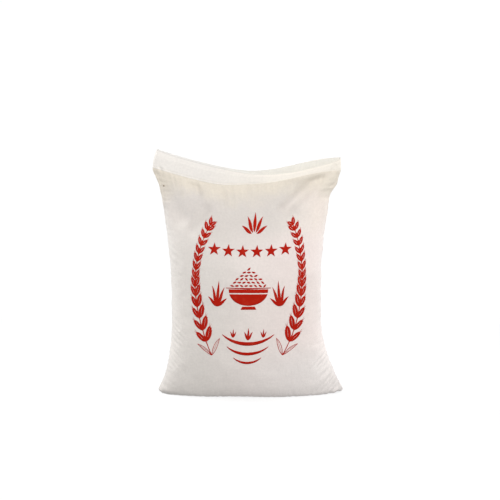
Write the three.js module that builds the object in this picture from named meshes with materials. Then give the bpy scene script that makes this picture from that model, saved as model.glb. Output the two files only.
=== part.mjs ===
// A ten-kilogram rice sack of plain cotton, filled and standing, with its hemmed mouth pressed shut.
// Millimetres, +Z up. The printed front faces -Y, and the origin is on the floor under the middle of the sack.
import * as THREE from "three";

// The two side seams, each as seen from the front: how far it stands from the middle at the waist, at the
// mouth and at the ear of cloth on the floor, the heights between which it widens, and the stiff hem's flare.
const LEFT_SEAM = {
  waist: 152.2,
  waistHeight: 180,
  mouth: 181.7,
  mouthHeight: 444,
  mouthPower: 2,
  flare: 6,
  flareFrom: 406,
  flareTo: 442,
  ear: 179.4,
  earFrom: 170,
  earPower: 3,
  cornerLean: 9,
};
const RIGHT_SEAM = {
  waist: 143,
  waistHeight: 250,
  mouth: 172.2,
  mouthHeight: 444,
  mouthPower: 1.7,
  flare: 8.5,
  flareFrom: 392,
  flareTo: 418,
  ear: 188.6,
  earFrom: 150,
  earPower: 1.75,
  cornerLean: 0,
};
const EAR_HEIGHT = 8; // the widest point of an ear above the floor
const EAR_LIFT = 2; // the underside of the right ear above the floor
const EAR_RADIUS = 6;

// The mouth: the rim sags between its two corners, and the hem runs along under it.
const RIM_LOW = 441;
const LEFT_CORNER_RISE = 42;
const LEFT_CORNER_POWER = 1.4;
const RIGHT_CORNER_RISE = 26;
const RIGHT_CORNER_POWER = 2.2;
const HEM_LEFT = 36; // height of the hem where it stands upright, on the left
const HEM_RIGHT = 26; // and where it leans back, on the right
const HEM_TURN_AT = -0.15;
const HEM_TURN_WIDTH = 0.15;
const RIM_GAP = 2; // the front rim under the back one
const RIM_DROP = 12; // and this much further where it has slipped, right of the middle
const RIM_DROP_AT = 0.6; // places and widths across are shares of the half width
const RIM_DROP_WIDTH = 0.5;
const RIM_DEPTH = 3; // half the thickness across both rims
const LIP = 1.6; // thickness of one hemmed rim
const MOUTH_GROOVE = 9; // depth of the closed slit between the rims
const HEM_DEPTH = 5; // the hem's lower edge in front of the middle, on the left
const HEM_LEAN = 11; // and this much further forward on the right
const HEM_LEAN_AT = 0.45;
const HEM_LEAN_WIDTH = 0.38;
const HEM_LEAN_FROM = 0.88; // share of the height where the cloth starts to follow the hem
const HEM_LEAN_POWER = 2.2;
const SEAM_CLOSING = 12; // power: the two faces part quickly beside a side seam

// The filled belly, as half depths on the middle line.
const FLOOR_DEPTH = 46;
const BELLY_DEPTH = 81;
const BELLY_AT = 0.3; // share of the height where the belly is deepest
const BELLY_POWER = 3.2;
const BELLY_ROUND = 0.9;

// How a level section narrows towards its seams: 1 is a round end, more is a flat ear.
const END_AT_FLOOR = { left: 0.95, right: 1.4 };
const END_AT_BELLY = 0.9;
const END_AT_HEM = 1.4;
const FLOOR_END_UP_TO = 0.28; // shares of the height
const HEM_END_FROM = 0.55;

// Soft hollows and ridges pressed into the cloth: [x, z] at both ends, half width and depth (a ridge is
// negative), on the front or the back.
const FOLDS = [
  { face: "front", from: [151, 439], to: [72, 374], width: 12, depth: 16 },
  { face: "front", from: [166, 435], to: [91, 380], width: 11, depth: -8 },
  { face: "front", from: [-168, 388], to: [-126, 338], width: 18, depth: 19 },
  { face: "front", from: [-113, 410], to: [-101, 388], width: 9, depth: 8 },
  { face: "front", from: [-58, 410], to: [-44, 372], width: 12, depth: 4 },
  { face: "back", from: [140, 432], to: [70, 360], width: 16, depth: 8 },
  { face: "back", from: [-148, 430], to: [-84, 352], width: 15, depth: 9 },
  { face: "back", from: [-20, 416], to: [12, 376], width: 16, depth: 5 },
];
const FOLDS_END = 0.035; // they fade out over this share of the body's height under the stiff hem

const ACROSS = 44; // facets across each face
const ROWS_UP = 26; // rows of facets from the floor to the hem
const ROWS_HEM = 3;
const ROWS_CROWD = 1.6; // rows crowd towards the floor
const ROWS_EVEN = 0.45; // and, by this share, towards the hem as well

const clamp01 = (t) => Math.min(1, Math.max(0, t));
const mix = (a, b, t) => a + (b - a) * t;
const bell = (t) => Math.exp(-t * t);
const smooth = (t) => clamp01(t) ** 2 * (3 - 2 * clamp01(t));

// How far a side seam stands from the middle at a height.
function seamReach(seam, corner, z) {
  const up = clamp01((z - seam.waistHeight) / (seam.mouthHeight - seam.waistHeight));
  const down = clamp01((seam.earFrom - z) / (seam.earFrom - EAR_HEIGHT));
  const lean = clamp01((z - seam.mouthHeight) / (corner - seam.mouthHeight));
  const under = clamp01((EAR_HEIGHT - z) / EAR_RADIUS);
  return (
    seam.waist +
    (seam.mouth - seam.waist) * up ** seam.mouthPower +
    seam.flare * smooth((z - seam.flareFrom) / (seam.flareTo - seam.flareFrom)) +
    (seam.ear - seam.waist) * down ** seam.earPower -
    seam.cornerLean * lean ** 2 -
    EAR_RADIUS * (1 - Math.sqrt(1 - under * under))
  );
}

// Heights of the mouth's lines. across runs from -1 at the left seam to 1 at the right one.
function rimHeight(across, face) {
  const back =
    across < 0
      ? RIM_LOW + LEFT_CORNER_RISE * (-across) ** LEFT_CORNER_POWER
      : RIM_LOW + RIGHT_CORNER_RISE * Math.sin((across * Math.PI) / 2) ** RIGHT_CORNER_POWER;
  if (face === "back") return back;
  return back - (RIM_GAP + RIM_DROP * bell((across - RIM_DROP_AT) / RIM_DROP_WIDTH)) * seamClosing(across);
}

function hemHeight(across) {
  const turn = 0.5 + 0.5 * Math.tanh((across - HEM_TURN_AT) / HEM_TURN_WIDTH);
  return rimHeight(across, "back") - mix(HEM_LEFT, HEM_RIGHT, turn);
}

const baseHeight = (across) => EAR_LIFT * smooth((across - 0.8) / 0.2);

// Brings both faces together at the side seams.
function seamClosing(across) {
  return Math.sqrt(1 - Math.abs(across) ** SEAM_CLOSING);
}

// Half depth of the filled sack on the middle line, from the floor, 0, to the hem, 1.
function bellyDepth(up) {
  if (up < BELLY_AT) {
    const low = 1 - up / BELLY_AT;
    return mix(FLOOR_DEPTH, BELLY_DEPTH, Math.sqrt(1 - low * low));
  }
  const high = (up - BELLY_AT) / (1 - BELLY_AT);
  return BELLY_DEPTH * (1 - high ** BELLY_POWER) ** BELLY_ROUND;
}

function sectionEnd(up, across) {
  const floor = across < 0 ? END_AT_FLOOR.left : END_AT_FLOOR.right;
  const low = mix(floor, END_AT_BELLY, smooth(up / FLOOR_END_UP_TO));
  return mix(low, END_AT_HEM, smooth((up - HEM_END_FROM) / (1 - HEM_END_FROM)));
}

// Depth of the hem's lower edge. It stands furthest forward where the hem leans back.
function hemDepth(across, face) {
  const lean = face === "front" ? HEM_LEAN * bell((across - HEM_LEAN_AT) / HEM_LEAN_WIDTH) : 0;
  return (HEM_DEPTH + lean) * seamClosing(across);
}

// Depth taken out by the soft folds at a place on a face, and at a share of the body's height.
function foldDepth(face, x, z, up) {
  let taken = 0;
  for (const fold of FOLDS) {
    if (fold.face !== face) continue;
    const [x0, z0] = fold.from;
    const [x1, z1] = fold.to;
    const length = Math.hypot(x1 - x0, z1 - z0);
    const along = ((x - x0) * (x1 - x0) + (z - z0) * (z1 - z0)) / length;
    const off = ((x - x0) * (z1 - z0) - (z - z0) * (x1 - x0)) / length;
    const past = Math.max(0, -along, along - length);
    taken += fold.depth * bell(Math.hypot(off, past) / fold.width);
  }
  return taken * smooth((1 - up) / FOLDS_END);
}

// One point of the cloth at a height, with its depth from the middle plane.
function clothPoint(turn, face, z, depth, inset = 0) {
  const across = Math.sin((turn * Math.PI) / 2);
  const left = seamReach(LEFT_SEAM, rimHeight(-1, "back"), z(-1)) - inset;
  const right = seamReach(RIGHT_SEAM, rimHeight(1, "back"), z(1)) - inset;
  const x = (right - left) / 2 + ((right + left) / 2) * across;
  const side = face === "front" ? -1 : 1;
  return [x, side * depth(across, x), z(across)];
}

// A ring of the sack: the front from left to right, then the back from right to left.
function ring(heightOn, depthOn, inset) {
  const points = [];
  for (const face of ["front", "back"]) {
    for (let i = 0; i < ACROSS; i++) {
      const turn = (face === "front" ? 1 : -1) * ((2 * i) / ACROSS - 1);
      points.push(clothPoint(turn, face, heightOn(face), depthOn(face), inset));
    }
  }
  return points;
}

// The bottom seam, a line that closes the sack under it.
function baseRing() {
  return ring(() => baseHeight, () => () => 0, EAR_RADIUS);
}

function bodyRings() {
  const rings = [];
  for (let i = 0; i <= ROWS_UP; i++) {
    const share = i / ROWS_UP;
    const up = mix(share ** ROWS_CROWD, smooth(share), ROWS_EVEN);
    const follow = clamp01((up - HEM_LEAN_FROM) / (1 - HEM_LEAN_FROM)) ** HEM_LEAN_POWER;
    const height = (across) => mix(baseHeight(across), hemHeight(across), up);
    const depth = (face) => (across, x) => {
      const round = Math.sqrt(Math.max(0, 1 - across * across)) ** sectionEnd(up, across);
      const full = bellyDepth(up) * round + hemDepth(across, face) * follow;
      const taken = foldDepth(face, x, height(across), up) * round;
      return Math.max(full - taken, RIM_DEPTH * seamClosing(across));
    };
    rings.push(ring(() => height, depth));
  }
  return rings;
}

// The hem up to the rim, then the inner edge of the lips and the bottom of the closed slit between them.
function mouthRings() {
  const rings = [];
  const rimDepth = (across) => RIM_DEPTH * seamClosing(across);
  for (let i = 1; i <= ROWS_HEM; i++) {
    const up = i / ROWS_HEM;
    const height = (face) => (across) => mix(hemHeight(across), rimHeight(across, face), up);
    const depth = (face) => (across) => mix(hemDepth(across, face), rimDepth(across), up);
    rings.push(ring(height, depth));
  }
  const rim = (face) => (across) => rimHeight(across, face);
  const lipDepth = () => (across) => (RIM_DEPTH - LIP) * seamClosing(across);
  const slit = () => (across) => rimHeight(across, "front") - MOUTH_GROOVE * seamClosing(across);
  rings.push(ring(rim, lipDepth, LIP));
  rings.push(ring(slit, () => () => 0, 2 * LIP));
  return rings;
}

// Joins rings of equal count into one closed body. The first and last rings are lines that close it.
function loft(rings) {
  const count = rings[0].length;
  const index = [];
  for (let r = 0; r + 1 < rings.length; r++) {
    for (let i = 0; i < count; i++) {
      const a = r * count + i;
      const b = r * count + ((i + 1) % count);
      const c = b + count;
      const d = a + count;
      index.push(a, b, c, a, c, d);
    }
  }
  const geometry = new THREE.BufferGeometry();
  geometry.setAttribute("position", new THREE.Float32BufferAttribute(rings.flat(2), 3));
  geometry.setIndex(index);
  geometry.computeVertexNormals();
  return geometry;
}

const cotton = new THREE.MeshStandardMaterial({
  name: "unbleached_cotton",
  color: 0xe6dfd6,
  roughness: 0.95,
  metalness: 0,
});

const sack = new THREE.Mesh(loft([baseRing(), ...bodyRings(), ...mouthRings()]), cotton);
sack.name = "rice_sack";

const group = new THREE.Group();
group.add(sack);

export default group;
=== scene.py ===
# A cotton sack filled with ten kilograms of rice, with a hemmed mouth, side seams and a red printed front.
import math

import bpy
import numpy as np
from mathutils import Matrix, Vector
from mathutils.bvhtree import BVHTree
from mathutils.geometry import delaunay_2d_cdt


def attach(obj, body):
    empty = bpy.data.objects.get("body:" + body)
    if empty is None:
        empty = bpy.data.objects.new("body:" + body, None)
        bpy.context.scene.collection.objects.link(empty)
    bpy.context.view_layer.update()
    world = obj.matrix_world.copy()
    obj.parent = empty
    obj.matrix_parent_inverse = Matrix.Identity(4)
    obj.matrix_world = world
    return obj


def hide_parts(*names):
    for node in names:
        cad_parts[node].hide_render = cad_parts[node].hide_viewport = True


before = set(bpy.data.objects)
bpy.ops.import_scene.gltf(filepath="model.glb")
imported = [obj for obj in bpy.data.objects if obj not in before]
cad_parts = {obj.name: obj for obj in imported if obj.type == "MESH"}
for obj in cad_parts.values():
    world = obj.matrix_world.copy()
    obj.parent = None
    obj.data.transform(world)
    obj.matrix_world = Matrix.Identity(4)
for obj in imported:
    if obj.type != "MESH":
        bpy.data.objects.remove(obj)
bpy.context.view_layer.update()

# Sizes are in millimetres, and MM turns them into metres. The printed front faces -Y.
MM = 0.001

# The side seams as seen from the front: how far each stands from the middle at the waist, at the mouth and at
# the ear of cloth on the floor, the heights between which it widens, and the stiff hem's flare.
LEFT_SEAM = {
    "waist": 152.2, "waist_height": 180, "mouth": 181.7, "mouth_height": 444, "mouth_power": 2,
    "flare": 6, "flare_from": 406, "flare_to": 442,
    "ear": 179.4, "ear_from": 170, "ear_power": 3, "corner_lean": 9,
}
RIGHT_SEAM = {
    "waist": 143, "waist_height": 250, "mouth": 172.2, "mouth_height": 444, "mouth_power": 1.7,
    "flare": 8.5, "flare_from": 392, "flare_to": 418,
    "ear": 188.6, "ear_from": 150, "ear_power": 1.75, "corner_lean": 0,
}
EAR_HEIGHT = 8
EAR_LIFT = 2
EAR_RADIUS = 6

# The mouth: the rim sags between its two corners, and the hem runs along under it.
RIM_LOW = 441
LEFT_CORNER_RISE = 42
LEFT_CORNER_POWER = 1.4
RIGHT_CORNER_RISE = 26
RIGHT_CORNER_POWER = 2.2
HEM_LEFT = 36
HEM_RIGHT = 26
HEM_TURN_AT = -0.15
HEM_TURN_WIDTH = 0.15
RIM_GAP = 2
RIM_DROP = (12, 0.6, 0.5)  # the front rim hangs lower: by how much, where across, and how widely
RIM_DEPTH = 3
RIM_GAPE = (2.6, 0.12, 0.3)  # it also stands further out where the slit shows
LIP = 1.6
MOUTH_GROOVE = 30
HEM_DEPTH = 5
HEM_LEAN = (11, 0.45, 0.38)  # and the front of the hem bulges
HEM_LEAN_FROM = 0.88
HEM_LEAN_POWER = 2.2
SEAM_CLOSING = 12

# The filled belly, as half depths on the middle line, and how a level section narrows towards its seams.
FLOOR_DEPTH = 46
BELLY_DEPTH = 81
BELLY_AT = 0.3
BELLY_POWER = 3.2
BELLY_ROUND = 0.9
END_AT_FLOOR = (0.95, 1.4)
END_AT_BELLY = 0.9
END_AT_HEM = 1.4
FLOOR_END_UP_TO = 0.28
HEM_END_FROM = 0.55

# Soft hollows and ridges: both ends, half width and depth; a ridge's depth is negative.
FOLDS = {
    "front": [
        (141, 427, 72, 366, 13, 13),
        (104, 392, 46, 346, 19, 6),
        (172, 436, 99, 371, 11, -10.5),
        (-164, 394, -132, 352, 18, 18),
        (-106, 412, -98, 398, 9, 8),
        (-130, 426, -128, 404, 6, -4),
        (-58, 410, -44, 372, 12, 4),
        (-84, 366, -108, 330, 12, 8),
    ],
    "back": [
        (140, 432, 70, 360, 16, 8),
        (-148, 430, -84, 352, 15, 9),
        (-20, 416, 12, 376, 16, 5),
    ],
}

FOLDS_END = 0.035  # the folds fade out over this share of the body's height under the stiff hem

# Sharp creases on the front, at the bulky ends of the hem: both ends of each, its half width and depth, and
# the shares of its length in which it fades in and out.
FRONT_CREASES = (
    (172, 457, 163, 436, 4.2, 2.2, 0.3, 0.3),
    (-176, 452, -166, 434, 2.8, 1.0, 0.3, 0.3),
)

# The cloth itself.
FLAT_WIDTH = 375  # width of the empty sack laid flat
HEM_STEP = 0.45  # the turned-over hem stands this much proud of the single cloth
HEM_MARK = 30  # the rim's mark on the scale that places the cotton's colours; 0 is the hem's lower edge
INNER_MARK = 60  # the mark of the cloth inside the mouth
INNER_MARK_STEP = 2.0  # the weave's coordinate runs on by this much for each row inside the mouth
STITCH_PLACE = 0.11  # share of the hem's height
STITCH_GROOVE = 0.5
STITCH_PITCH = 3.4
STITCH_LENGTH = 2.5
STITCH_MARGIN = 4.0  # the row of stitches starts and ends this far from the side seams
# The rings of a stitch: the share of its length, the share of the thread's thickness, and its lift.
STITCH_RINGS = (
    (0, 0.35, -0.25), (0.12, 0.85, 0.12), (0.35, 1, 0.3),
    (0.65, 1, 0.3), (0.88, 0.85, 0.12), (1, 0.35, -0.25),
)
THREAD = 0.5
THREAD_SIDES = 6
SEWN_WAVE = 5.5  # length of the small waves that the stitches leave in the cloth
SEAM_ALLOWANCE = 6  # the folded edges inside a side seam show through as a flat band this wide
SEAM_GROOVE = 0.9  # where the cloth is full, the thread draws the seam in by this much
FULL_FROM = 40  # the cloth is full between these places, measured up along it from the floor
FULL_TO = 350
SLACK_BACK = 2.4  # the gathers of the back are this many times as deep as those of the taut printed front
YARN = 1.1  # pitch of the drawn weave; the real yarns lie every 0.5 mm, too fine to show from a step away
INK = 0.28  # the print's film stands this much above the cloth, enough to clear its small lumps
INK_SUNK = 0.5  # and reaches this much into it

ACROSS_STEPS = 176  # steps of the cloth's grid from seam to seam
CLOTH_STEP = 2.5  # length of its steps up the middle line

SEED = 20
LUMP_TABLE = 128  # random heights along each side of the table behind the cloth's lumps


def clamp01(t):
    return np.clip(t, 0, 1)


def mix(a, b, t):
    return a + (b - a) * t


def bell(t):
    return np.exp(-t * t)


def smooth(t):
    t = clamp01(t)
    return t * t * (3 - 2 * t)


def swell(across, form):
    """A rounded swelling across the sack, from its height, place and width."""
    height, place, width = form
    return height * bell((across - place) / width)


def lumps(a, b, size, seed):
    """Smooth bumps of about that size over a surface, from -1 to 1."""
    table = np.random.default_rng(seed).uniform(-1, 1, (LUMP_TABLE, LUMP_TABLE))
    a = np.asarray(a / size, float)
    b = np.asarray(b / size, float)
    i = np.floor(a).astype(int)
    j = np.floor(b).astype(int)
    s = smooth(a - i)
    t = smooth(b - j)
    i0, i1, j0, j1 = (k % LUMP_TABLE for k in (i, i + 1, j, j + 1))
    low = mix(table[i0, j0], table[i1, j0], s)
    high = mix(table[i0, j1], table[i1, j1], s)
    return mix(low, high, t)


def seam_distance(side, z):
    """How far the left (-1) or right side seam stands from the middle at a height."""
    seam = LEFT_SEAM if side < 0 else RIGHT_SEAM
    corner = rim_height(float(side), "back")
    up = clamp01((z - seam["waist_height"]) / (seam["mouth_height"] - seam["waist_height"]))
    down = clamp01((seam["ear_from"] - z) / (seam["ear_from"] - EAR_HEIGHT))
    lean = clamp01((z - seam["mouth_height"]) / (corner - seam["mouth_height"]))
    under = clamp01((EAR_HEIGHT - z) / EAR_RADIUS)
    flare = smooth((z - seam["flare_from"]) / (seam["flare_to"] - seam["flare_from"]))
    return (
        seam["waist"]
        + (seam["mouth"] - seam["waist"]) * up ** seam["mouth_power"]
        + seam["flare"] * flare
        + (seam["ear"] - seam["waist"]) * down ** seam["ear_power"]
        - seam["corner_lean"] * lean**2
        - EAR_RADIUS * (1 - np.sqrt(1 - under * under))
    )


def closing(across):
    """Brings both faces together at the side seams."""
    return np.sqrt(np.maximum(0, 1 - np.abs(across) ** SEAM_CLOSING))


def rim_height(across, face):
    left = RIM_LOW + LEFT_CORNER_RISE * np.maximum(0, -across) ** LEFT_CORNER_POWER
    right = RIGHT_CORNER_RISE * np.sin(np.maximum(0, across) * np.pi / 2) ** RIGHT_CORNER_POWER
    back = left + right
    if face == "back":
        return back
    return back - (RIM_GAP + swell(across, RIM_DROP)) * closing(across)


def hem_height(across):
    turn = 0.5 + 0.5 * np.tanh((across - HEM_TURN_AT) / HEM_TURN_WIDTH)
    return rim_height(across, "back") - mix(HEM_LEFT, HEM_RIGHT, turn)


def base_height(across):
    return EAR_LIFT * smooth((across - 0.8) / 0.2)


def belly_depth(up):
    low = 1 - clamp01(up / BELLY_AT)
    high = clamp01((up - BELLY_AT) / (1 - BELLY_AT))
    lower = mix(FLOOR_DEPTH, BELLY_DEPTH, np.sqrt(1 - low * low))
    upper = BELLY_DEPTH * (1 - high**BELLY_POWER) ** BELLY_ROUND
    return np.where(up < BELLY_AT, lower, upper)


def section_end(up, across):
    floor = np.where(across < 0, END_AT_FLOOR[0], END_AT_FLOOR[1])
    low = mix(floor, END_AT_BELLY, smooth(up / FLOOR_END_UP_TO))
    return mix(low, END_AT_HEM, smooth((up - HEM_END_FROM) / (1 - HEM_END_FROM)))


def hem_depth(across, face):
    lean = swell(across, HEM_LEAN) if face == "front" else 0
    return (HEM_DEPTH + lean) * closing(across)


def rim_depth(across, face):
    gape = swell(across, RIM_GAPE) if face == "front" else 0
    return (RIM_DEPTH + gape) * closing(across)


def along_and_off(x, z, line):
    """Place of points beside a straight line: the distance along it, off it, and its length."""
    x0, z0, x1, z1 = line
    length = math.hypot(x1 - x0, z1 - z0)
    along = ((x - x0) * (x1 - x0) + (z - z0) * (z1 - z0)) / length
    off = ((x - x0) * (z1 - z0) - (z - z0) * (x1 - x0)) / length
    return along, off, length


def fold_depth(face, x, z, up):
    taken = 0
    for *line, width, depth in FOLDS[face]:
        along, off, length = along_and_off(x, z, line)
        past = np.maximum(0, np.maximum(-along, along - length))
        taken = taken + depth * bell(np.hypot(off, past) / width)
    return taken * smooth((1 - up) / FOLDS_END)


def crease_relief(x, z, creases):
    """Height of sharp little creases. Each is a line, a half width, a depth, and the shares of its length in
    which it fades in and out. The cloth rises a little on both sides of a crease."""
    relief = np.zeros_like(x)
    for *line, width, depth, fade_in, fade_out in creases:
        along, off, length = along_and_off(x, z, line)
        share = along / length
        here = smooth(share / fade_in) * smooth((1 - share) / fade_out)
        beside = bell((np.abs(off) - 2 * width) / width)
        relief += depth * here * (0.45 * beside - bell(off / width))
    return relief


# What each kind of crease is drawn from: its length, its slant as a share of that, its half width, its depth,
# and the step to the next one. Then the shares of a crease's length in which it fades in and out.
SIDE_PUCKERS = ((18, 46), (-0.9, 0.1), (1.8, 3.0), (0.35, 0.95), (8, 19))
PULLED_PUCKERS = ((26, 54), (-1.0, -0.75), (2.0, 2.8), (0.6, 1.2), (7, 11))
FOOT_PUCKERS = ((10, 26), (-0.35, 0.35), (1.8, 3.2), (0.25, 0.7), (8, 20))
HEM_GATHERS = ((22, 74), (-0.18, 0.18), (2.2, 4.6), (0.3, 1.0), (0.04, 0.11))
PUCKER_FADES = (0.05, 0.8)
GATHER_FADES = (0.04, 0.85)

# Between these heights the ears pull the seams sideways, and fine creases slant down and inwards from them.
PULLED = {-1: (62, 150), 1: (8, 105)}
PULLED_DEPTH = {-1: 0.9, 1: 1.5}
SIDE_FROM = 12.0
SIDE_TO = 436
SIDE_WAIST = 220  # the puckers are shallowest at this height

FOOT_FROM = -168.0
FOOT_TO = 176
FOOT_SUNK = 4  # the foot's creases start this much under the floor

HEM_HALF = 178
HEM_FROM = -0.9  # the gathers hang between these shares of HEM_HALF
HEM_TO = 0.92
HEM_SPREAD = 0.35  # the outermost gathers slant inwards by about this share of their length


def drawn(rng, ranges):
    """One random number from each range."""
    return [rng.uniform(low, high) for low, high in ranges]


def side_puckers(rng):
    """Creases that run in from a side seam, as the sewn edge is shorter than the filled cloth beside it."""
    creases = []
    for side in (-1, 1):
        z = SIDE_FROM
        while z < SIDE_TO:
            length, slant, width, depth, step = drawn(rng, SIDE_PUCKERS)
            depth *= mix(0.45, 1, abs(z - SIDE_WAIST) / SIDE_WAIST)
            if PULLED[side][0] < z < PULLED[side][1]:
                length, slant, width, depth, step = drawn(rng, PULLED_PUCKERS)
                depth *= PULLED_DEPTH[side]
            x = float(seam_distance(side, z))
            ends = (side * (x + 3), z, side * (x - length), z + slant * length)
            creases.append((*ends, width, depth, *PUCKER_FADES))
            z += step
    return creases


def hem_gathers(rng, slack):
    """Creases that hang from the hem, where the flat mouth narrows to the filled body."""
    creases = []
    across = HEM_FROM
    while across < HEM_TO:
        x = HEM_HALF * across
        top = float(hem_height(across)) + 2
        length, slant, width, depth, step = drawn(rng, HEM_GATHERS)
        slant -= HEM_SPREAD * across
        creases.append((x, top, x + slant * length, top - length, width, depth * slack, *GATHER_FADES))
        across += step
    return creases


def foot_puckers(rng):
    """Short creases that rise from the floor, where the cloth turns under."""
    creases = []
    x = FOOT_FROM
    while x < FOOT_TO:
        length, slant, width, depth, step = drawn(rng, FOOT_PUCKERS)
        creases.append((x, -FOOT_SUNK, x + slant * length, length, width, depth, *PUCKER_FADES))
        x += step
    return creases


def row_x(heights, inset=0.0):
    """Where a row of the grid, whose points stand at these heights, lies from side to side."""
    left = seam_distance(-1, heights[0]) - inset
    right = seam_distance(1, heights[-1]) - inset
    return (right - left) / 2 + (right + left) / 2 * ACROSS


def run_along(points, axis=0):
    """The distance of each point from the first one, along the line that they make in that direction."""
    steps = np.linalg.norm(np.diff(points, axis=axis), axis=-1)
    return np.concatenate([np.zeros_like(np.take(steps, [0], axis)), np.cumsum(steps, axis)], axis)


def body_levels():
    """Levels from the floor, 0, to the hem, 1, an even step of cloth apart on the middle line."""
    up = np.linspace(0, 1, 4001) ** 2
    run = run_along(np.stack([up * hem_height(0.0), belly_depth(up)], 1))
    count = int(run[-1] / CLOTH_STEP)
    return np.interp(np.linspace(0, run[-1], count + 1), run, up)


ACROSS = np.sin(np.linspace(-1, 1, ACROSS_STEPS + 1) * np.pi / 2)

# The grid's rows, as shares of the way: under the belly, up the hem with one on the stitches, round the rim's
# lip in degrees, and down its inner side.
BASE_SHARES = (0, 0.35, 0.7)
HEM_SHARES = (
    0.008, 0.02, 0.045, 0.075, 0.095, STITCH_PLACE, 0.125, 0.15, 0.19,
    0.26, 0.34, 0.43, 0.52, 0.61, 0.7, 0.79, 0.87, 0.94, 1,
)
LIP_TURNS = (40, 80, 120, 160, 180)
INNER_SHARES = (0.04, 0.1, 0.2, 0.34, 0.5, 0.7, 1)


def cloth_face(face):
    """The outer side of one face, a row of points for each level. Also each point's place on the flat cloth,
    and its mark above or below the hem's lower edge."""
    side = -1 if face == "front" else 1
    rows = []
    hem_line = hem_height(ACROSS)
    base = base_height(ACROSS)
    levels = body_levels()
    circle = np.sqrt(np.maximum(0, 1 - ACROSS**2))
    for share in BASE_SHARES:
        x = row_x(base, (1 - share) * EAR_RADIUS)
        section = circle ** section_end(0.0, ACROSS)
        rows.append(np.stack([x, side * share * FLOOR_DEPTH * section, base], 1))
    under = len(rows)
    for up in levels:
        z = mix(base, hem_line, up)
        x = row_x(z)
        section = circle ** section_end(up, ACROSS)
        follow = clamp01((up - HEM_LEAN_FROM) / (1 - HEM_LEAN_FROM)) ** HEM_LEAN_POWER
        plain_depth = belly_depth(up) * section + hem_depth(ACROSS, face) * follow
        depth = np.maximum(plain_depth - fold_depth(face, x, z, up) * section, RIM_DEPTH * closing(ACROSS))
        rows.append(np.stack([x, side * depth, z], 1))
    for share in HEM_SHARES:
        z = mix(hem_line, rim_height(ACROSS, face) - LIP / 2 * closing(ACROSS), share)
        depth = mix(hem_depth(ACROSS, face), rim_depth(ACROSS, face), share)
        rows.append(np.stack([row_x(z), side * depth, z], 1))
    points = np.array(rows)

    from_left = run_along(points, 1)
    from_right = from_left[:, -1:] - from_left
    up_run = run_along(points, 0)
    u = from_left / from_left[:, -1:] * FLAT_WIDTH
    v = up_run - up_run[under]
    hem_row = under + len(levels) - 1
    above_hem = up_run - up_run[hem_row]
    above_hem[hem_row + 1:] = np.array(HEM_SHARES)[:, None] * HEM_MARK
    place = np.stack([u, v, above_hem], 2)

    normal = side * np.cross(np.gradient(points, axis=0), np.gradient(points, axis=1))
    normal /= np.maximum(1e-9, np.linalg.norm(normal, axis=2, keepdims=True))
    relief = cloth_relief(face, points, place, np.minimum(from_left, from_right), hem_row)
    points = points + normal * relief[:, :, None]
    points[:, :, 2] = np.maximum(0, points[:, :, 2])
    full = smooth((v - FULL_FROM) / 60) * smooth((FULL_TO - v) / 60)
    return sewn(points, from_left, from_right, full), place


def cloth_relief(face, points, place, from_seam, hem_row):
    """Height of the small shapes of the cloth above its plain form."""
    x = points[:, :, 0]
    z = points[:, :, 2]
    u = place[:, :, 0]
    v = place[:, :, 1]
    above = place[:, :, 2]
    rng = np.random.default_rng(SEED + (face == "back"))
    seed = SEED + 10 * (face == "back")
    body = smooth(-above / 14)
    filled = smooth((-above - 30) / 60) * smooth(v / 12)

    # Low waves of the cloth, each with a height and a size, and the grains that press through it.
    relief = 1.5 * lumps(u, v, 88, seed) * body
    relief += 0.8 * lumps(u + 0.4 * v, v, 37, seed + 1) * body
    relief += 0.34 * lumps(u, v, 15, seed + 2) * body
    relief += 0.16 * lumps(u, v, 6.4, seed + 3) * filled
    creases = side_puckers(rng) + hem_gathers(rng, SLACK_BACK if face == "back" else 1) + foot_puckers(rng)
    relief += crease_relief(x, z, creases) * smooth((3 - above) / 6)
    if face == "front":
        relief += crease_relief(x, z, FRONT_CREASES)

    # The seam allowance inside lifts the cloth beside a side seam where the sack is empty.
    empty = smooth((v - 300) / 60) + 0.6 * smooth((60 - v) / 30)
    relief += 0.7 * smooth((SEAM_ALLOWANCE - from_seam) / 1.6) * empty

    # The hem: a step at its lower edge, a sewn groove, and small waves between the stitches and the rim.
    in_hem = np.arange(len(points))[:, None] > hem_row
    row_shares = np.zeros(len(points))
    row_shares[-len(HEM_SHARES):] = HEM_SHARES
    share = np.broadcast_to(row_shares[:, None], x.shape)
    sewn_waves = lumps(u, 0 * u, SEWN_WAVE, seed + 4)
    hem = HEM_STEP * smooth(share / 0.06)
    hem -= STITCH_GROOVE * bell((share - STITCH_PLACE) / 0.022)
    hem += 0.22 * sewn_waves * bell((share - STITCH_PLACE) / 0.12)
    hem += 0.5 * lumps(u, v, 24, seed + 5) * smooth(share * 3)
    relief += hem * in_hem
    relief += 0.3 * sewn_waves * ~in_hem * bell(above / 7)
    return relief * smooth(from_seam / 5)


def sewn(points, from_left, from_right, full):
    """The face with its sewn edges as they are: they move a little in and out, and to and fro, and are drawn
    in where the sack is full."""
    z = points[:, :, 2]
    for run, sign, column, seed in ((from_left, -1, 0, 31), (from_right, 1, -1, 33)):
        near = np.exp(-run / 9)
        edge = np.broadcast_to(z[:, column, None], z.shape)
        points[:, :, 0] += sign * near * (0.7 * lumps(edge, 0 * edge, 13, SEED + seed) - 0.3)
        points[:, :, 0] -= sign * SEAM_GROOVE * bell(run / 1.3) * full
        points[:, :, 1] += near * 2.2 * lumps(edge, 0 * edge, 34, SEED + seed + 1) * smooth(edge / 40)
    return points


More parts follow.
